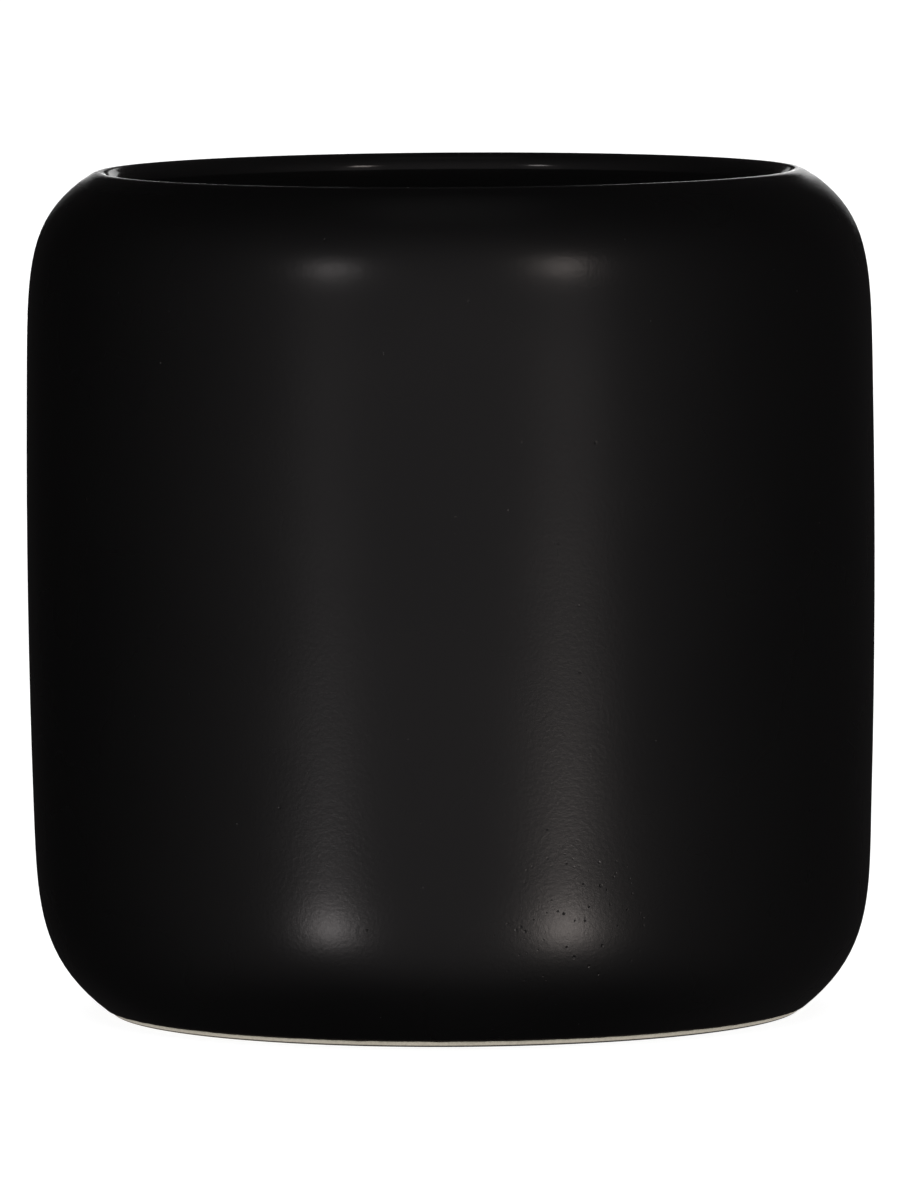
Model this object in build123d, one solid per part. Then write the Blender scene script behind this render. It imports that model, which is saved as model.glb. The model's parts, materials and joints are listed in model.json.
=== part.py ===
from build123d import *
import math
import os

# An empty ceramic candle jar: a slip-cast stoneware body under two fired coats of glaze.
# Millimetres, +Z up. The origin is the middle of the foot, on the surface the jar stands on.
# Every section is drawn in (radius, height) and turned about Z.

# ---------------------------------------------------------------- driving dimensions
# Outside form, measured over the glaze
BELLY_DIAMETER = 88.0  # the widest place
JAR_HEIGHT = 87.4  # table to the crest of the lip
BELLY_HEIGHT = 51.0  # height of the widest place
BELLY_ARC_RADIUS = 985.0  # slow upright curve of the side
HEEL_HEIGHT = 21.8  # the heel curve meets the side here
SHOULDER_DEPTH = 23.8  # crest down to where the shoulder curve leaves the side
HEEL_SLOPE = 38.0  # degrees above level where the glaze starts
SHOULDER_SLOPE = 34.0  # degrees below level where the shoulder meets the lip
HEEL_FULLNESS = (0.40, 0.44)  # handles at the foot and the side, as shares of the chord
SHOULDER_FULLNESS = (0.57, 0.34)  # handles at the side and the lip

# Mouth
MOUTH_DIAMETER = 69.1  # clear bore inside the lip
LIP_RADIUS = 1.7  # rounding over the crest
MOUTH_LAND = 2.5  # straight part of the bore, where a lid would sit

# Wall and coats
CLAY_WALL = 3.8
OUTER_GLAZE = 0.3
INNER_GLAZE = 0.3
FLOOR_LEVEL = 5.6  # inside floor above the table
FLOOR_FLAT_RADIUS = 24.0  # flat middle of the inside floor
UNDER_LIP_FULLNESS = (0.35, 0.45)  # handles from the bore to the even wall
FLOOR_BEND_FULLNESS = (0.45, 0.45)  # handles from the even wall to the floor
EVEN_WALL_FROM = 0.55  # share of the heel curve below which the inside leaves the even wall
EVEN_WALL_TO = 0.52  # share of the shoulder curve above which it does

# Foot
FOOT_DIAMETER = 71.4  # outer edge of the standing ring
FOOT_RING_WIDTH = 4.6
FOOT_BEVEL = 0.8  # the wiped clay flares out by this much
GLAZE_LINE = 0.6  # height of the glaze's lower edge
RECESS_DEPTH = 1.2  # hollow under the foot
RECESS_SLOPE = 0.9  # run of the hollow's sloping side
FOOT_ROUNDING = 0.3
RECESS_ROUNDING = 0.8

STEPS_PER_CURVE = 8  # how finely a curve is sampled for its offset

# ---------------------------------------------------------------- derived sizes
belly_radius = BELLY_DIAMETER / 2
foot_radius = FOOT_DIAMETER / 2
mouth_radius = MOUTH_DIAMETER / 2
crest_radius = mouth_radius + LIP_RADIUS
shoulder_base = JAR_HEIGHT - SHOULDER_DEPTH
full_wall = OUTER_GLAZE + CLAY_WALL + INNER_GLAZE
lip_centre = Vector(crest_radius, JAR_HEIGHT - LIP_RADIUS)
lip_start = 90 - SHOULDER_SLOPE  # angle round the lip where the shoulder arrives


# ---------------------------------------------------------------- curves and offsets
def heading(degrees):
    """Unit direction at an angle above level, pointing away from the axis."""
    return Vector(1, 0).rotate(Axis.Z, degrees)


def handle_curve(start, end, fullness):
    """A cubic between two stations, with each handle a share of the chord."""
    (foot, leaving), (head, arriving) = start, end
    chord = (head - foot).length
    first_handle = foot + leaving * chord * fullness[0]
    last_handle = head - arriving * chord * fullness[1]
    return Bezier(foot, first_handle, last_handle, head)


def stations(curve, first=0.0, last=1.0):
    """Places along part of a curve, each with its direction of travel."""
    shares = [first + (last - first) * n / STEPS_PER_CURVE for n in range(STEPS_PER_CURVE + 1)]
    return [(curve @ share, curve % share) for share in shares]


def beside(station, distance):
    """The station moved to the left of its travel."""
    place, travel = station
    return place + travel.rotate(Axis.Z, 90) * distance, travel


def smooth(line):
    """One spline through a line of stations, leaving and arriving in their directions."""
    places, travels = zip(*line)
    return Spline(*places, tangents=(travels[0], travels[-1]), tangent_scalars=(1, 1))


def side_angle(height):
    """Angle round the side's long arc at a height."""
    return math.degrees(math.asin((height - BELLY_HEIGHT) / BELLY_ARC_RADIUS))


# ---------------------------------------------------------------- the glaze's outside, foot to lip
glaze_start = (Vector(foot_radius + FOOT_BEVEL, GLAZE_LINE), heading(HEEL_SLOPE))
side = CenterArc(
    (belly_radius - BELLY_ARC_RADIUS, BELLY_HEIGHT),
    BELLY_ARC_RADIUS,
    side_angle(HEEL_HEIGHT),
    side_angle(shoulder_base) - side_angle(HEEL_HEIGHT),
)
shoulder_end = (lip_centre + heading(lip_start) * LIP_RADIUS, heading(lip_start + 90))
heel = handle_curve(glaze_start, (side @ 0, side % 0), HEEL_FULLNESS)
shoulder = handle_curve((side @ 1, side % 1), shoulder_end, SHOULDER_FULLNESS)


def lip_arc(depth, start, finish):
    """Part of the lip at a depth below the glaze, between two angles above level."""
    return CenterArc(lip_centre, LIP_RADIUS - depth, start, finish - start)


def outer_skin(depth):
    """Foot to crest, at a depth below the outside of the glaze."""
    line = stations(heel)[:-1] + stations(side)[:-1] + stations(shoulder)
    return [smooth([beside(station, depth) for station in line]), lip_arc(depth, lip_start, 90)]


# ---------------------------------------------------------------- the liner's inside, lip to floor
def even_wall():
    """Stations down the inside where the wall keeps one thickness."""
    lower = stations(heel, first=EVEN_WALL_FROM)
    upper = stations(shoulder, last=EVEN_WALL_TO)
    upwards = [beside(station, full_wall) for station in lower[:-1] + stations(side)[:-1] + upper]
    return [(place, -travel) for place, travel in reversed(upwards)]


def inner_skin(depth):
    """Crest to axis, at a depth below the inside of the liner."""
    wall = even_wall()
    land_top = (Vector(mouth_radius, lip_centre.Y), Vector(0, -1))
    land_end = (land_top[0] - Vector(0, MOUTH_LAND), Vector(0, -1))
    floor_edge = (Vector(FLOOR_FLAT_RADIUS, FLOOR_LEVEL), Vector(-1, 0))
    under_lip = stations(handle_curve(land_end, wall[0], UNDER_LIP_FULLNESS))
    floor_bend = stations(handle_curve(wall[-1], floor_edge, FLOOR_BEND_FULLNESS))
    line = [beside(station, depth) for station in under_lip[:-1] + wall + floor_bend[1:]]
    return [
        lip_arc(depth, 90, 180),
        Line(beside(land_top, depth)[0], line[0][0]),
        smooth(line),
        Line(line[-1][0], (0, FLOOR_LEVEL - depth)),
    ]


def crest_line(depth):
    """Where the two coats meet, through the top of the lip."""
    return Line((crest_radius, JAR_HEIGHT), (crest_radius, JAR_HEIGHT - depth))


def turned(edges):
    """The solid made by turning a closed section about Z."""
    return revolve(Plane.XZ * make_face(edges), Axis.Z)


# ---------------------------------------------------------------- the pieces
def stoneware_body():
    """The clay: wall, floor and a bare standing ring round a shallow hollow."""
    ring_inner = foot_radius - FOOT_RING_WIDTH
    underside = FilletPolyline(
        (0, RECESS_DEPTH),
        (ring_inner - RECESS_SLOPE, RECESS_DEPTH),
        (ring_inner, 0),
        (foot_radius, 0),
        beside(glaze_start, OUTER_GLAZE)[0],
        radius=[RECESS_ROUNDING, FOOT_ROUNDING, FOOT_ROUNDING],
    )
    axis = Line((0, FLOOR_LEVEL - INNER_GLAZE), (0, RECESS_DEPTH))
    return turned([underside, *outer_skin(OUTER_GLAZE), *inner_skin(INNER_GLAZE), axis])


def outer_glaze():
    """Satin coat, from the glaze line above the foot to the crest of the lip."""
    lower_edge = Line(glaze_start[0], beside(glaze_start, OUTER_GLAZE)[0])
    return turned([lower_edge, *outer_skin(0), crest_line(OUTER_GLAZE), *outer_skin(OUTER_GLAZE)])


def inner_glaze():
    """Glossy liner, from the crest of the lip over the whole inside."""
    axis = Line((0, FLOOR_LEVEL), (0, FLOOR_LEVEL - INNER_GLAZE))
    return turned([*inner_skin(0), crest_line(INNER_GLAZE), *inner_skin(INNER_GLAZE), axis])


PIECES = {
    "stoneware_body": stoneware_body,
    "outer_glaze": outer_glaze,
    "inner_glaze": inner_glaze,
}

os.makedirs("parts", exist_ok=True)
for name, make in PIECES.items():
    piece = make()
    piece.label = name
    export_step(piece, f"parts/{name}.step")
    size = piece.bounding_box().size
    print(f"{name}: {piece.volume / 1000:.2f} cm3, {size.X:.2f} x {size.Y:.2f} x {size.Z:.2f} mm")
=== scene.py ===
"""Looks for an empty ceramic candle jar: bare clay foot, satin black coat, glossy black liner.

Metres, +Z up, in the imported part's own frame. Each piece is a section turned about Z.
"""

import json
import math

import bmesh
import bpy
from mathutils import Matrix, Quaternion, Vector, geometry, noise


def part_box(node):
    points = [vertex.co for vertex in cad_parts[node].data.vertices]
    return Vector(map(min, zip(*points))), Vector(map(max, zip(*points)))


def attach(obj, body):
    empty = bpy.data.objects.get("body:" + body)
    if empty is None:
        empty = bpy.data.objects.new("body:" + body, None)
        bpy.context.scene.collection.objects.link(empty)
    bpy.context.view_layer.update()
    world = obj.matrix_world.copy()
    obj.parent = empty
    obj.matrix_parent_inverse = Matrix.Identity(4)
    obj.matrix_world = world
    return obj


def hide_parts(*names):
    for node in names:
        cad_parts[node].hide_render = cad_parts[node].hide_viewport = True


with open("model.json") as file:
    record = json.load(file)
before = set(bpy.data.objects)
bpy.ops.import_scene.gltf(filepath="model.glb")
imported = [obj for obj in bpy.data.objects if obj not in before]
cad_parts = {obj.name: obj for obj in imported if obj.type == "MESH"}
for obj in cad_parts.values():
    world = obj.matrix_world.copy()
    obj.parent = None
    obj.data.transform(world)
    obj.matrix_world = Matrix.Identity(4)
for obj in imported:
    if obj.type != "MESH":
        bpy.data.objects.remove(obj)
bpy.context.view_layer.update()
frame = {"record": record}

# ---------------------------------------------------------------- sizes from the frame
MM = 0.001
clay_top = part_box("stoneware_body")[1].z
coat_low, coat_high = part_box("outer_glaze")
liner_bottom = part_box("inner_glaze")[0].z
mounts = {mount["name"]: mount for mount in frame["record"]["mounts"]}

jar_height = coat_high.z
belly_radius = coat_high.x
glaze_line = coat_low.z
coat = jar_height - clay_top  # thickness of both coats
mouth_radius = mounts["mouth_bore"]["dims"]["r_mm"] * MM
bore_length = mounts["mouth_bore"]["dims"]["length_mm"] * MM
floor_level = liner_bottom + coat

# ---------------------------------------------------------------- shape of the section
BELLY_HEIGHT = 51.0 * MM
BELLY_ARC_RADIUS = 985.0 * MM
HEEL_HEIGHT = 21.8 * MM
SHOULDER_DEPTH = 23.8 * MM
HEEL_SLOPE = 38.0
SHOULDER_SLOPE = 34.0
HEEL_FULLNESS = (0.40, 0.44)  # handles at the two ends, as shares of the chord
SHOULDER_FULLNESS = (0.57, 0.34)
LIP_RADIUS = 1.7 * MM
FULL_WALL = 4.4 * MM
FLOOR_FLAT_RADIUS = 24.0 * MM
UNDER_LIP_FULLNESS = (0.35, 0.45)
FLOOR_BEND_FULLNESS = (0.45, 0.45)
EVEN_WALL_FROM = 0.55  # share of the heel below which the inside leaves the even wall
EVEN_WALL_TO = 0.52  # share of the shoulder above which it does
FOOT_RADIUS = 35.7 * MM
FOOT_RING_WIDTH = 4.6 * MM
FOOT_BEVEL = 0.8 * MM
RECESS_DEPTH = 1.2 * MM
RECESS_SLOPE = 0.9 * MM
FOOT_ROUNDING = 0.3 * MM
RECESS_ROUNDING = 0.8 * MM
CORNER_PULL = 0.45  # how squarely a rounding turns its corner
NOSE_SETBACK = 0.1  # share of the coat that its lower edge bulges by
NOSE_FLANKS = (0.6, 0.3)  # how near the bulge's middle its inner and outer flanks come

WEDGES = 24  # the section is spun through one wedge, then the wedge is repeated
WEDGE_STEPS = 20
CURVE_STEPS = 20  # along the heel and the shoulder
SIDE_STEPS = 8
OVER_LIP_STEPS = 8
INTO_LIP_STEPS = 16
CORNER_STEPS = 7
FLOOR_RINGS = (0.75, 0.5, 0.25, 0.1, 0.0)  # shares of the flat floor's radius
HOLLOW_RINGS = (0.1, 0.3, 0.6, 0.85)
MERGE_DISTANCE = 0.0005 * MM
SHARP_ANGLE = 40.0  # degrees; a sharper fold than this keeps its edge

WARP = 0.05 * MM  # the most that the kiln pulls the wall in
WARP_SPAN = 45.0 * MM
WARP_STRETCH = 0.8  # the pull changes this much more slowly up the wall than round it
WARP_FADE = 8  # it fades out over the lowest one in this many parts of the height
HEEL_DRIFT = 0.22 * MM  # the foot has slumped this far to one side
HEEL_DRIFT_BEND = 1.5
RAGGED_LIFT = 0.16 * MM  # how far the wiped glaze line wanders up
RAGGED_REACH = 1.4 * MM
RAGGED_SPAN = 1.6 * MM
RAGGED_FRACTAL = (0.7, 2.1, 3)  # roughness, lacunarity and octaves of the wander


# ---------------------------------------------------------------- drawing a section
def heading(degrees):
    """Unit direction in the section plane, at an angle above level, away from the axis."""
    angle = math.radians(degrees)
    return Vector((math.cos(angle), 0, math.sin(angle)))


def at(radius, height):
    """A place in the section plane."""
    return Vector((radius, 0, height))


def handle_curve(start, leaving, end, arriving, fullness):
    """A cubic between two places, with each handle a share of the chord."""
    chord = (end - start).length
    first_handle = start + leaving * chord * fullness[0]
    last_handle = end - arriving * chord * fullness[1]
    return geometry.interpolate_bezier(start, first_handle, last_handle, end, CURVE_STEPS)


def arc(centre, radius, start, finish, steps):
    """Places round a centre, between two angles above level."""
    turns = [start + (finish - start) * n / steps for n in range(steps + 1)]
    return [centre + heading(turn) * radius for turn in turns]


def rounded(before, corner, after, reach):
    """A corner eased by a curve that starts and ends the same way along its two sides."""
    start = corner + (before - corner).normalized() * reach
    end = corner + (after - corner).normalized() * reach
    first_handle = corner.lerp(start, CORNER_PULL)
    last_handle = corner.lerp(end, CORNER_PULL)
    return geometry.interpolate_bezier(start, first_handle, last_handle, end, CORNER_STEPS)


def beneath(line, depth):
    """The line moved to the left of its travel."""
    last = len(line) - 1
    moved = []
    for n, place in enumerate(line):
        along = (line[min(n + 1, last)] - line[max(n - 1, 0)]).normalized()
        moved.append(place + Vector((-along.z, 0, along.x)) * depth)
    return moved


def side_place(height):
    """On the long upright arc of the side, and the way it runs there."""
    lean = (height - BELLY_HEIGHT) / BELLY_ARC_RADIUS
    rise = math.sqrt(1 - lean * lean)
    return at(belly_radius - BELLY_ARC_RADIUS * (1 - rise), height), Vector((-lean, 0, rise))


lip_centre = at(mouth_radius + LIP_RADIUS, jar_height - LIP_RADIUS)
lip_start = 90 - SHOULDER_SLOPE  # angle round the lip where the shoulder arrives
lip_start_run = heading(lip_start + 90)
glaze_start = at(FOOT_RADIUS + FOOT_BEVEL, glaze_line)
side_low, side_low_run = side_place(HEEL_HEIGHT)
side_high, side_high_run = side_place(jar_height - SHOULDER_DEPTH)
shoulder_end = lip_centre + heading(lip_start) * LIP_RADIUS

heel = handle_curve(glaze_start, heading(HEEL_SLOPE), side_low, side_low_run, HEEL_FULLNESS)
shoulder = handle_curve(side_high, side_high_run, shoulder_end, lip_start_run, SHOULDER_FULLNESS)
side_rise = side_high.z - HEEL_HEIGHT
side = [side_place(HEEL_HEIGHT + side_rise * n / SIDE_STEPS)[0] for n in range(1, SIDE_STEPS)]


def outer_line():
    """Outside of the coat, from the glaze line up to the crest of the lip."""
    over_lip = arc(lip_centre, LIP_RADIUS, lip_start, 90, OVER_LIP_STEPS)
    return heel + side + shoulder + over_lip[1:]


def inner_line():
    """Inside of the liner, from the crest down the wall and along the floor to the axis."""
    first = round(EVEN_WALL_FROM * (CURVE_STEPS - 1))
    last = round(EVEN_WALL_TO * (CURVE_STEPS - 1))
    even_wall = beneath(heel[first - 1 :] + side + shoulder[: last + 2], FULL_WALL)[1:-1]
    even_wall.reverse()
    into_lip = arc(lip_centre, LIP_RADIUS, 90, 180, INTO_LIP_STEPS)
    land_end = into_lip[-1] - at(0, bore_length)
    top_run = (even_wall[1] - even_wall[0]).normalized()
    low_run = (even_wall[-1] - even_wall[-2]).normalized()
    floor_edge = at(FLOOR_FLAT_RADIUS, floor_level)
    under_lip = handle_curve(land_end, at(0, -1), even_wall[0], top_run, UNDER_LIP_FULLNESS)
    floor_bend = handle_curve(even_wall[-1], low_run, floor_edge, at(-1, 0), FLOOR_BEND_FULLNESS)
    flat = [at(FLOOR_FLAT_RADIUS * share, floor_level) for share in FLOOR_RINGS]
    return into_lip + under_lip + even_wall[1:] + floor_bend[1:] + flat


def clay_section():
    """The bare foot with its shallow hollow, then the wall under both coats."""
    ring_inner = FOOT_RADIUS - FOOT_RING_WIDTH
    hollow_middle = at(0, RECESS_DEPTH)
    hollow_edge = at(ring_inner - RECESS_SLOPE, RECESS_DEPTH)
    ring_inside = at(ring_inner, 0)
    ring_outside = at(FOOT_RADIUS, 0)
    bevel_top = beneath(heel[:2], coat)[0]
    foot = [hollow_middle]
    foot += [at(hollow_edge.x * share, RECESS_DEPTH) for share in HOLLOW_RINGS]
    foot += rounded(hollow_middle, hollow_edge, ring_inside, RECESS_ROUNDING)
    foot += rounded(hollow_edge, ring_inside, ring_outside, FOOT_ROUNDING)
    foot += rounded(ring_inside, ring_outside, bevel_top, FOOT_ROUNDING)
    wall = beneath(outer_line(), coat)
    return foot + wall[:-1] + beneath(inner_line(), coat)


def coat_section():
    """The satin coat: outside line, back down under it, and a rounded nose at the glaze line."""
    outside = outer_line()
    inside = beneath(outside, coat)
    inside.reverse()
    setback = heading(HEEL_SLOPE) * (coat * NOSE_SETBACK)
    nose_middle = outside[0].lerp(inside[-1], 0.5) - setback
    nose_inner = inside[-1].lerp(nose_middle, NOSE_FLANKS[0])
    nose_outer = (outside[0] - setback).lerp(nose_middle, NOSE_FLANKS[1])
    return outside + inside + [nose_inner, nose_middle, nose_outer]


def liner_section():
    """The liner: inside line to the axis and back under it to the crest."""
    inside = inner_line()
    under = beneath(inside, coat)
    under.reverse()
    return inside + under


# ---------------------------------------------------------------- turning it
def turned(outline, closed):
    """A closed solid made by spinning a section about Z."""
    bm = bmesh.new()
    verts = [bm.verts.new(place) for place in outline]
    ends = zip(verts, verts[1:] + verts[:1]) if closed else zip(verts, verts[1:])
    edges = [bm.edges.new(pair) for pair in ends]
    bmesh.ops.spin(
        bm,
        geom=verts + edges,
        cent=(0, 0, 0),
        axis=(0, 0, 1),
        angle=math.tau / WEDGES,
        steps=WEDGE_STEPS,
    )
    wedge = bm.verts[:] + bm.edges[:] + bm.faces[:]
    for n in range(1, WEDGES):
        copied = bmesh.ops.duplicate(bm, geom=wedge)["geom"]
        moved = [element for element in copied if isinstance(element, bmesh.types.BMVert)]
        bmesh.ops.rotate(bm, verts=moved, matrix=Matrix.Rotation(math.tau * n / WEDGES, 3, "Z"))
    bmesh.ops.remove_doubles(bm, verts=bm.verts, dist=MERGE_DISTANCE)
    bmesh.ops.recalc_face_normals(bm, faces=bm.faces)
    return bm


def wiped(bm):
    """Lets the lower edge of the satin coat wander, as a sponged glaze line does."""
    slope = math.radians(HEEL_SLOPE)
    for vert in bm.verts:
        share = 1 - (vert.co.z - glaze_line) / RAGGED_REACH
        if share <= 0 or vert.co.z > HEEL_HEIGHT:
            continue
        outward = Vector((vert.co.x, vert.co.y, 0)).normalized()
        spot = outward * (FOOT_RADIUS / RAGGED_SPAN)
        uneven = 0.5 + 0.5 * noise.fractal(spot, *RAGGED_FRACTAL)
        lift = RAGGED_LIFT * min(max(uneven, 0), 1) * min(share, 1)
        vert.co += outward * (lift * math.cos(slope)) + Vector((0, 0, lift * math.sin(slope)))


def kiln_pull(place):
    """How far the fired wall stands in from a true circle at a place."""
    spot = Vector((place.x, place.y, place.z * WARP_STRETCH)) / WARP_SPAN
    return WARP * (0.5 + 0.5 * noise.noise(spot))


def fired(bm):
    """The slight unevenness of a fired pot. Every piece follows it, so the coats stay on the clay."""
    for vert in bm.verts:
        radius = math.hypot(vert.co.x, vert.co.y)
        if radius < MM:
            continue
        rise = min(max(vert.co.z / jar_height, 0), 1)
        pull = kiln_pull(vert.co * (belly_radius / radius)) * min(rise * WARP_FADE, 1)
        slump = HEEL_DRIFT * max(1 - vert.co.z / HEEL_HEIGHT, 0) ** HEEL_DRIFT_BEND
        vert.co.x *= 1 - pull / radius
        vert.co.y *= 1 - pull / radius
        vert.co.x += slump


def finished(name, bm, material, node):
    """Puts the turned mesh in the scene in place of its CAD node."""
    fired(bm)
    mesh = bpy.data.meshes.new(name)
    bm.to_mesh(mesh)
    bm.free()
    mesh.shade_smooth()
    mesh.set_sharp_from_angle(angle=math.radians(SHARP_ANGLE))
    mesh.materials.append(material)
    piece = bpy.data.objects.new(name, mesh)
    bpy.context.scene.collection.objects.link(piece)
    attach(piece, "root")
    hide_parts(node)
    return piece


# ---------------------------------------------------------------- shader building
def add(tree, kind, links=None, **settings):
    """A node with settings, then constants on its sockets and links into them."""
    node = tree.nodes.new(kind)
    for key, value in settings.items():
        setattr(node, key, value)
    for socket, value in (links or {}).items():
        if isinstance(value, bpy.types.NodeSocket):
            tree.links.new(value, node.inputs[socket])
        else:
            node.inputs[socket].default_value = value
    return node


def use(tree, group, links):
    """The outputs of a shader group put to work in a material."""
    return add(tree, "ShaderNodeGroup", links, node_tree=group).outputs


def maths(tree, operation, *values, clamp=False):
    """One sum on values and sockets."""
    links = dict(enumerate(values))
    return add(tree, "ShaderNodeMath", links, operation=operation, use_clamp=clamp).outputs[0]


def span(tree, value, low, high, to_low=0.0, to_high=1.0):
    """The value eased from one range to another and held at its ends."""
    links = {"Value": value, "From Min": low, "From Max": high, "To Min": to_low, "To Max": to_high}
    return add(tree, "ShaderNodeMapRange", links, interpolation_type="SMOOTHSTEP").outputs["Result"]


def mix_colour(tree, share, first, second):
    """The first colour where the share is 0, the second where it is 1."""
    return add(tree, "ShaderNodeMix", {0: share, 6: first, 7: second}, data_type="RGBA").outputs[2]


def mix_value(tree, share, first, second):
    """The first value where the share is 0, the second where it is 1."""
    return add(tree, "ShaderNodeMix", {0: share, 2: first, 3: second}, data_type="FLOAT").outputs[0]


def per_metre(size):
    """Texture scale whose features are about this long."""
    return 1 / size


def clouds(tree, place, size, detail=2.0, roughness=0.5):
    """Noise whose features are about this long."""
    links = {"Vector": place, "Scale": per_metre(size), "Detail": detail, "Roughness": roughness}
    return add(tree, "ShaderNodeTexNoise", links).outputs["Fac"]


def new_group(name, inputs, output):
    """An empty shader group with named inputs and one value output."""
    group = bpy.data.node_groups.new(name, "ShaderNodeTree")
    group.interface.new_socket("Place", in_out="INPUT", socket_type="NodeSocketVector")
    for label, value in inputs.items():
        socket = group.interface.new_socket(label, in_out="INPUT", socket_type="NodeSocketFloat")
        socket.default_value = value
    group.interface.new_socket(output, in_out="OUTPUT", socket_type="NodeSocketFloat")
    given = group.nodes.new("NodeGroupInput").outputs
    return group, given, group.nodes.new("NodeGroupOutput").inputs[output]


FINE_TO_RIPPLE = 3.7  # how much finer the grain is than the ripple


def orange_peel_group():
    """The soft ripple and the short grain of a fired glaze."""
    group, given, height = new_group("orange_peel", {"Ripple Scale": 800.0, "Grain": 0.3}, "Height")
    ripple_links = {"Vector": given["Place"], "Scale": given["Ripple Scale"], "Detail": 1.5}
    ripple = add(group, "ShaderNodeTexNoise", ripple_links).outputs["Fac"]
    fine_scale = maths(group, "MULTIPLY", given["Ripple Scale"], FINE_TO_RIPPLE)
    fine_links = {"Vector": given["Place"], "Scale": fine_scale, "Detail": 1.0}
    fine = add(group, "ShaderNodeTexNoise", fine_links).outputs["Fac"]
    grain = maths(group, "MULTIPLY", fine, given["Grain"])
    group.links.new(maths(group, "ADD", ripple, grain), height)
    return group


SMALLEST_PIT = 0.4  # share of the radius that the smallest pit keeps


def pinholes_group():
    """Pinholes where gas broke through, or specks: a mask that is 1 in the middle of each."""
    sizes = {"Spacing Scale": 250.0, "Radius": 0.1, "Share": 0.2}
    group, given, mask = new_group("pinholes", sizes, "Mask")
    cell_links = {"Vector": given["Place"], "Scale": given["Spacing Scale"]}
    cells = add(group, "ShaderNodeTexVoronoi", cell_links).outputs
    chance = add(group, "ShaderNodeSeparateColor", {"Color": cells["Color"]}).outputs
    picked = maths(group, "LESS_THAN", chance[0], given["Share"])
    size = maths(group, "MULTIPLY", given["Radius"], maths(group, "ADD", chance[1], SMALLEST_PIT))
    pit = span(group, cells["Distance"], size, 0.0)
    group.links.new(maths(group, "MULTIPLY", pit, picked), mask)
    return group


orange_peel = orange_peel_group()
pinholes = pinholes_group()


def peel(tree, place, ripple, grain):
    """Height of a glaze's orange peel, from the length of its ripple."""
    links = {"Place": place, "Ripple Scale": per_metre(ripple), "Grain": grain}
    return use(tree, orange_peel, links)["Height"]


def pits(tree, place, spacing, radius, share):
    """Mask of pits or specks: how far apart, how wide for that, and how many cells have one."""
    links = {"Place": place, "Spacing Scale": per_metre(spacing), "Radius": radius, "Share": share}
    return use(tree, pinholes, links)["Mask"]


def new_material(name):
    """An empty Principled material, and the place on the piece in its own frame."""
    material = bpy.data.materials.new(name)
    material.use_nodes = True
    tree = material.node_tree
    tree.nodes.clear()
    out = tree.nodes.new("ShaderNodeOutputMaterial")
    shader = tree.nodes.new("ShaderNodeBsdfPrincipled")
    tree.links.new(shader.outputs[0], out.inputs["Surface"])
    place = tree.nodes.new("ShaderNodeTexCoord").outputs["Object"]
    return material, tree, shader, place


def surface(tree, shader, tone, rough, relief, depth):
    """Links colour, roughness and a relief of this depth into the shader."""
    bump = add(tree, "ShaderNodeBump", {"Height": relief, "Distance": depth, "Strength": 1.0})
    tree.links.new(tone, shader.inputs["Base Color"])
    tree.links.new(rough, shader.inputs["Roughness"])
    tree.links.new(bump.outputs[0], shader.inputs["Normal"])


# ---------------------------------------------------------------- the finishes
SATIN_TONES = ((0.0012, 0.0012, 0.0013, 1), (0.0018, 0.0017, 0.0017, 1))
SATIN_ROUGHNESS = (0.25, 0.29)
THIN_GLAZE_BROWN = (0.020, 0.016, 0.013, 1)
THIN_EDGE = 0.30 * MM  # the coat looks brown over this height above the glaze line
DUST = (0.05, 0.048, 0.045, 1)
SATIN_RELIEF = 0.010 * MM
SATIN_PIT_DEPTH = 4.5  # in reliefs
LIP_SMOOTHING = -0.15
LIP_SMOOTH_FROM = 1.4 * MM  # below the crest
LIP_SMOOTH_TO = 0.2 * MM
DUST_ROUGHNESS = 0.35
PITTED_PATCH = (12.0 * MM, -40.0 * MM, 13.0 * MM)  # pinholes crowd together low on the front
PITTED_REACH = 10.0 * MM
PITTED_CORE = 4.0 * MM
GLAZE_IOR = 1.5


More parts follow.
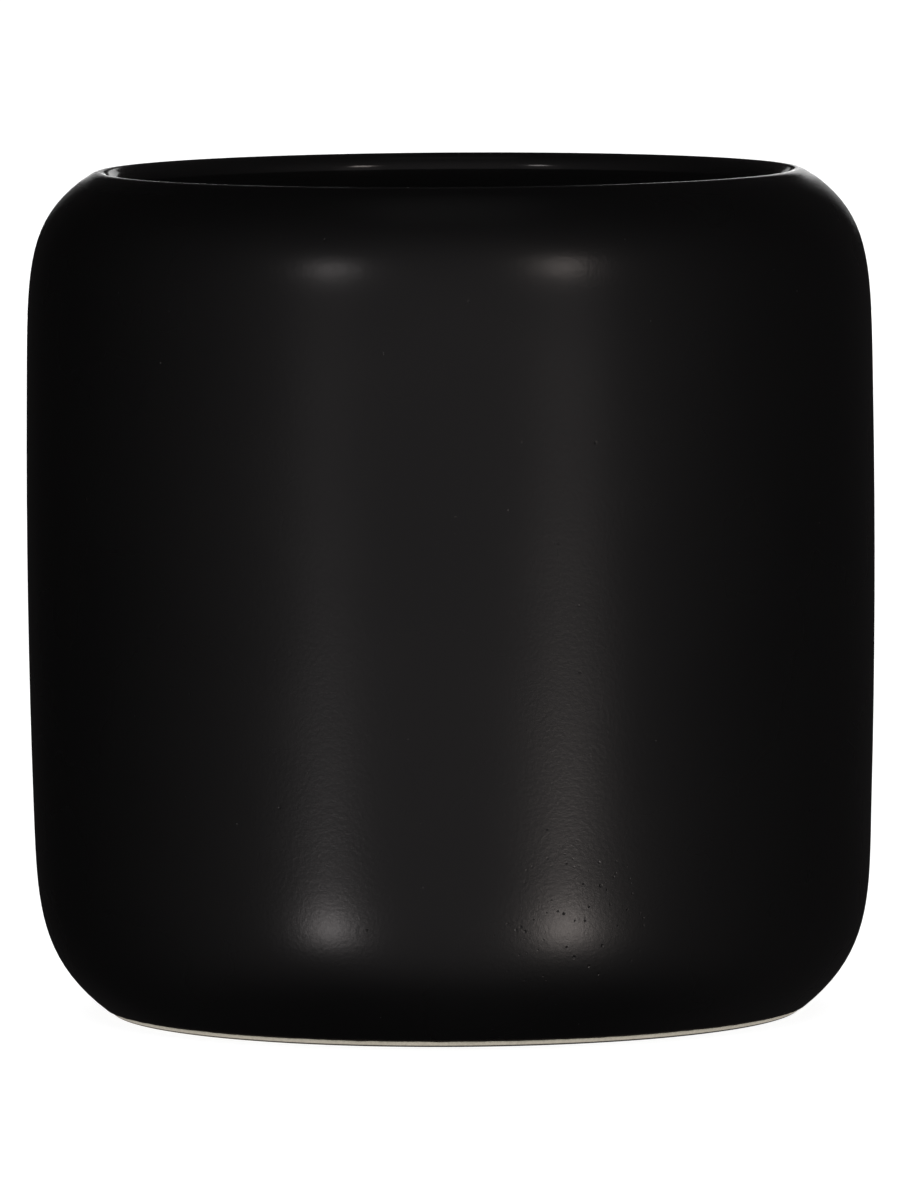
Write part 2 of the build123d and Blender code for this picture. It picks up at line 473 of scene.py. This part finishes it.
def satin_black():
    """Satin glaze: nearly black, faint peel, a few pinholes, dust, smoother over the lip."""
    material, tree, shader, place = new_material("satin_black_glaze")
    height = add(tree, "ShaderNodeSeparateXYZ", {"Vector": place}).outputs["Z"]
    scattered = pits(tree, place, 1.8 * MM, radius=0.09, share=0.35)
    crowded = pits(tree, place, 0.85 * MM, radius=0.19, share=0.80)
    specks = pits(tree, place, 2.5 * MM, radius=0.03, share=0.35)
    patch_links = {0: place, 1: PITTED_PATCH}
    from_patch = add(tree, "ShaderNodeVectorMath", patch_links, operation="DISTANCE")
    in_patch = span(tree, from_patch.outputs["Value"], PITTED_REACH, PITTED_CORE)
    all_pits = maths(tree, "MAXIMUM", scattered, maths(tree, "MULTIPLY", crowded, in_patch))
    cloud = clouds(tree, place, 22 * MM, 3.0, 0.55)
    tone = mix_colour(tree, cloud, *SATIN_TONES)
    thin = span(tree, height, glaze_line + THIN_EDGE, glaze_line)
    tone = mix_colour(tree, thin, tone, THIN_GLAZE_BROWN)
    tone = mix_colour(tree, specks, tone, DUST)
    satin = span(tree, cloud, 0.25, 0.75, *SATIN_ROUGHNESS)
    over_lip = span(tree, height, jar_height - LIP_SMOOTH_FROM, jar_height - LIP_SMOOTH_TO)
    smoother = maths(tree, "MULTIPLY", over_lip, LIP_SMOOTHING)
    dusty = maths(tree, "MULTIPLY", specks, DUST_ROUGHNESS)
    rough = maths(tree, "ADD", maths(tree, "ADD", satin, smoother), dusty, clamp=True)
    sunk = maths(tree, "MULTIPLY", all_pits, SATIN_PIT_DEPTH)
    relief = maths(tree, "SUBTRACT", peel(tree, place, 0.42 * MM, grain=0.6), sunk)
    surface(tree, shader, tone, rough, relief, SATIN_RELIEF)
    shader.inputs["IOR"].default_value = GLAZE_IOR
    return material


LINER_TONES = ((0.0026, 0.0026, 0.0027, 1), (0.0034, 0.0032, 0.0031, 1))
LINER_ROUGHNESS = (0.10, 0.12)
LINER_SPECULAR = 0.34
LINER_RELIEF = 0.012 * MM
LINER_PIT_DEPTH = 2.0  # in reliefs


def gloss_black():
    """Liner glaze: black and wet looking, with a gentle ripple and fewer pinholes."""
    material, tree, shader, place = new_material("gloss_black_liner")
    cloud = clouds(tree, place, 16 * MM)
    tone = mix_colour(tree, cloud, *LINER_TONES)
    rough = span(tree, cloud, 0.2, 0.8, *LINER_ROUGHNESS)
    sparse = pits(tree, place, 7.0 * MM, radius=0.05, share=0.25)
    sunk = maths(tree, "MULTIPLY", sparse, LINER_PIT_DEPTH)
    relief = maths(tree, "SUBTRACT", peel(tree, place, 2.4 * MM, grain=0.2), sunk)
    surface(tree, shader, tone, rough, relief, LINER_RELIEF)
    shader.inputs["IOR"].default_value = GLAZE_IOR
    shader.inputs["Specular IOR Level"].default_value = LINER_SPECULAR
    return material


CLAY_TONES = ((0.35, 0.32, 0.26, 1), (0.48, 0.44, 0.37, 1))
CLAY_ROUGHNESS = (0.82, 0.95)
CLAY_GRAIN = (0.24, 0.22, 0.18, 1)
IRON_BROWN = (0.10, 0.07, 0.05, 1)
GLAZE_SMEAR = (0.10, 0.115, 0.075, 1)
# painted contact shadow: the near-black that darkens the foot's outer bottom edge where it meets the
# floor
PAINTED_CONTACT_SHADE = (0.015, 0.013, 0.012, 1)
CLAY_RELIEF = 0.05 * MM
SPONGE_RING = 0.9 * MM  # from one sponge ring to the next
SPONGE_DEPTH = 0.35
IRON_DEPTH = 0.7
IRON_STRENGTH = 0.8
WORN_SMOOTHING = 0.18  # where the ring rubs on the table
WORN_HEIGHT = 0.06 * MM


def bare_clay():
    """Unglazed stoneware: pale, fine grained, iron specks, sponge rings, a grey glaze stain and a
    painted contact shadow along the foot's bottom edge.
    """
    material, tree, shader, place = new_material("bare_clay")
    height = add(tree, "ShaderNodeSeparateXYZ", {"Vector": place}).outputs["Z"]
    level_links = {0: place, 1: (1.0, 1.0, 0.0)}
    level = add(tree, "ShaderNodeVectorMath", level_links, operation="MULTIPLY").outputs[0]
    from_axis = add(tree, "ShaderNodeVectorMath", {0: level}, operation="LENGTH").outputs["Value"]
    cloud = clouds(tree, place, 6 * MM, 4.0, 0.6)
    grain = clouds(tree, place, 0.30 * MM, 3.0, 0.65)
    iron = pits(tree, place, 1.6 * MM, radius=0.10, share=0.30)

    tone = mix_colour(tree, cloud, *CLAY_TONES)
    tone = mix_colour(tree, span(tree, grain, 0.35, 0.75, 0.0, 0.45), tone, CLAY_GRAIN)
    tone = mix_colour(tree, maths(tree, "MULTIPLY", iron, IRON_STRENGTH), tone, IRON_BROWN)
    near_glaze = span(tree, height, glaze_line - 0.25 * MM, glaze_line + 0.20 * MM)
    patchy = span(tree, grain, 0.3, 0.7, 0.35, 0.9)
    outside = span(tree, from_axis, FOOT_RADIUS - 0.8 * MM, FOOT_RADIUS - 0.3 * MM)
    smear = maths(tree, "MULTIPLY", maths(tree, "MULTIPLY", near_glaze, patchy), outside)
    tone = mix_colour(tree, smear, tone, GLAZE_SMEAR)
    # Painted contact shadow: the outermost, lowest band of the foot is darkened to stand in for the
    # shade where it meets the floor.
    outer_edge = span(tree, from_axis, FOOT_RADIUS - 0.30 * MM, FOOT_RADIUS - 0.12 * MM)
    low_down = span(tree, height, 0.26 * MM, 0.12 * MM)
    tone = mix_colour(tree, maths(tree, "MULTIPLY", outer_edge, low_down), tone, PAINTED_CONTACT_SHADE)

    worn = span(tree, maths(tree, "ABSOLUTE", height), WORN_HEIGHT, 0.0)
    matt = span(tree, grain, 0.2, 0.8, *CLAY_ROUGHNESS)
    rough = maths(tree, "SUBTRACT", matt, maths(tree, "MULTIPLY", worn, WORN_SMOOTHING))

    wave = maths(tree, "SINE", maths(tree, "MULTIPLY", from_axis, math.tau / SPONGE_RING))
    sponge = maths(tree, "MULTIPLY", maths(tree, "MULTIPLY", wave, cloud), SPONGE_DEPTH)
    sunk = maths(tree, "MULTIPLY", iron, IRON_DEPTH)
    relief = maths(tree, "SUBTRACT", maths(tree, "ADD", grain, sponge), sunk)
    surface(tree, shader, tone, rough, relief, CLAY_RELIEF)
    return material


# ---------------------------------------------------------------- camera, lights, floor
def direction(azimuth, elevation):
    """From the jar towards a place round it; azimuth 0 is the camera's side."""
    turn = math.radians(azimuth)
    climb = math.radians(elevation)
    level = math.cos(climb)
    return Vector((math.sin(turn) * level, -math.cos(turn) * level, math.sin(climb)))


CAMERA_DISTANCE = 1.4486
CAMERA_ELEVATION = 4.64
CAMERA_LENS = 418.6
CAMERA_ROLL = -0.355
CAMERA_SENSOR = 36.0
CAMERA_REACH = 50.0
AIM_BELOW = 1.03 * MM
AIM_LEFT = 0.13 * MM


def set_camera():
    """A long lens a little above the lip, looking at the middle of the jar."""
    data = bpy.data.cameras.new("camera")
    data.lens = CAMERA_LENS
    data.sensor_width = CAMERA_SENSOR
    data.clip_end = CAMERA_REACH
    camera = bpy.data.objects.new("camera", data)
    bpy.context.scene.collection.objects.link(camera)
    back = direction(0, CAMERA_ELEVATION)
    facing = (-back).to_track_quat("-Z", "Y")
    up = facing @ Vector((0, 1, 0))
    right = facing @ Vector((1, 0, 0))
    middle = Vector((0, 0, jar_height / 2))
    camera.location = middle + back * CAMERA_DISTANCE - up * AIM_BELOW - right * AIM_LEFT
    camera.rotation_mode = "QUATERNION"
    camera.rotation_quaternion = facing @ Quaternion((0, 0, 1), math.radians(CAMERA_ROLL))
    bpy.context.scene.camera = camera


WHITE = (1.0, 1.0, 1.0)
WARM = (1.0, 0.90, 0.85)
BLUSH = (1.0, 0.935, 0.93)
LIGHT_DISTANCE = 1.2


def soft_light(name, azimuth, elevation, width, height, power, tint):
    """A rectangular panel that faces the jar and isn't seen itself."""
    data = bpy.data.lights.new(name, "AREA")
    data.shape = "RECTANGLE"
    data.size = width
    data.size_y = height
    data.energy = power
    data.color = tint
    lamp = bpy.data.objects.new(name, data)
    bpy.context.scene.collection.objects.link(lamp)
    towards = direction(azimuth, elevation)
    lamp.location = Vector((0, 0, jar_height / 2)) + towards * LIGHT_DISTANCE
    lamp.rotation_mode = "QUATERNION"
    lamp.rotation_quaternion = (-towards).to_track_quat("-Z", "Y")
    lamp.visible_camera = False


def set_lights():
    """Two keys, two low lights and two tall panels in front; faint cards behind and above."""
    soft_light("key_left", -33.5, 25.8, 0.12, 0.15, 0.32, BLUSH)
    soft_light("key_right", 32.5, 27, 0.13, 0.18, 0.46, WARM)
    soft_light("low_left", -34.5, -19.6, 0.11, 0.13, 0.62, BLUSH)
    soft_light("low_right", 31.2, -19.5, 0.14, 0.14, 1.05, WARM)
    soft_light("column_left", -33.5, 2, 0.30, 1.30, 0.12, BLUSH)
    soft_light("column_right", 32.5, -5, 0.34, 1.20, 0.19, BLUSH)
    soft_light("rear_card", 180, -1.5, 0.27, 0.19, 0.48, WHITE)
    soft_light("rear_right", 172.5, 8.5, 0.23, 0.27, 0.15, WHITE)
    soft_light("rear_left", -174, 6, 0.20, 0.15, 0.04, WHITE)
    soft_light("top_card", 0, 87, 0.50, 0.50, 0.04, WHITE)


MATT_GLOW = 1.12  # what lights matt surfaces
BACKDROP_GLOW = 1.0  # what the eye sees
FRONT_GLOW = 0.27  # what the glaze reflects from straight ahead
REAR_GLOW = 0.006
REAR_RIGHT_GLOW = 0.016
REAR_RIGHT = 145  # azimuth of the brighter part behind
REAR_RIGHT_FADE = (0.2, 0.9)  # how nearly a ray points there
UNDER_FADE = (-0.95, -0.50)  # rise of the rays between which the glow below comes in
UNDER_SHARE = 0.07  # how much of the glow is left straight down
OVER_FADE = (0.99, 0.50)
OVER_SHARE = 0.75  # and straight up
GLOW_FALL = 3.05  # how fast it dims towards the back
GLOW_TINT = (1.0, 0.935, 0.955, 1)


def set_world():
    """White all round to the eye, soft light on matt surfaces, a dimming glow in reflections."""
    world = bpy.data.worlds.new("studio")
    bpy.context.scene.world = world
    world.use_nodes = True
    tree = world.node_tree
    tree.nodes.clear()
    path = tree.nodes.new("ShaderNodeLightPath").outputs
    looking = tree.nodes.new("ShaderNodeTexCoord").outputs["Generated"]
    ahead_links = {0: looking, 1: direction(0, 0)}
    astern_links = {0: looking, 1: direction(REAR_RIGHT, 0)}
    ahead = add(tree, "ShaderNodeVectorMath", ahead_links, operation="DOT_PRODUCT")
    astern = add(tree, "ShaderNodeVectorMath", astern_links, operation="DOT_PRODUCT")
    rise = add(tree, "ShaderNodeSeparateXYZ", {"Vector": looking}).outputs["Z"]
    nearness = maths(tree, "MULTIPLY_ADD", ahead.outputs["Value"], 0.5, 0.5)
    glow = maths(tree, "MULTIPLY", maths(tree, "POWER", nearness, GLOW_FALL), FRONT_GLOW)
    under = span(tree, rise, *UNDER_FADE, UNDER_SHARE, 1.0)
    over = span(tree, rise, *OVER_FADE, OVER_SHARE, 1.0)
    glow = maths(tree, "MULTIPLY", glow, maths(tree, "MULTIPLY", under, over))
    towards = astern.outputs["Value"]
    behind = span(tree, towards, *REAR_RIGHT_FADE, REAR_GLOW, REAR_RIGHT_GLOW)
    room = maths(tree, "ADD", glow, behind)
    shine = mix_value(tree, path["Is Glossy Ray"], MATT_GLOW, room)
    level = mix_value(tree, path["Is Camera Ray"], shine, BACKDROP_GLOW)
    tint = mix_colour(tree, path["Is Glossy Ray"], (1, 1, 1, 1), GLOW_TINT)
    lit = add(tree, "ShaderNodeBackground", {"Color": tint, "Strength": level})
    out = tree.nodes.new("ShaderNodeOutputWorld")
    tree.links.new(lit.outputs[0], out.inputs["Surface"])
    world.cycles.sampling_method = "NONE"


FLOOR_HALF = 4.0
FLOOR_TONES = ((0.30, 0.30, 0.30, 1), (0.32, 0.32, 0.32, 1))
FLOOR_GLOW = 0.87  # keeps the paper white right up to the foot
FLOOR_DROP = 0.02 * MM


def set_floor():
    """Plain white paper, not seen in the glaze."""
    bm = bmesh.new()
    bmesh.ops.create_grid(bm, x_segments=4, y_segments=4, size=FLOOR_HALF)
    mesh = bpy.data.meshes.new("floor")
    bm.to_mesh(mesh)
    bm.free()
    material, tree, shader, place = new_material("pale_floor")
    tone = mix_colour(tree, clouds(tree, place, 4 * MM, 3.0), *FLOOR_TONES)
    tree.links.new(tone, shader.inputs["Base Color"])
    shader.inputs["Emission Color"].default_value = (1, 1, 1, 1)
    shader.inputs["Emission Strength"].default_value = FLOOR_GLOW
    shader.inputs["Roughness"].default_value = 1.0
    shader.inputs["Specular IOR Level"].default_value = 0.0
    mesh.materials.append(material)
    floor = bpy.data.objects.new("floor", mesh)
    floor.location.z = -FLOOR_DROP
    bpy.context.scene.collection.objects.link(floor)
    floor.visible_glossy = False
    floor.visible_shadow = False


# ---------------------------------------------------------------- making it
set_camera()
set_world()
set_lights()
set_floor()
bpy.context.scene.view_settings.view_transform = "Standard"

clay = turned(clay_section(), closed=False)
finished("clay_body", clay, bare_clay(), "stoneware_body")

satin_coat = turned(coat_section(), closed=True)
wiped(satin_coat)
finished("satin_coat", satin_coat, satin_black(), "outer_glaze")

liner = turned(liner_section(), closed=True)
finished("liner_coat", liner, gloss_black(), "inner_glaze")
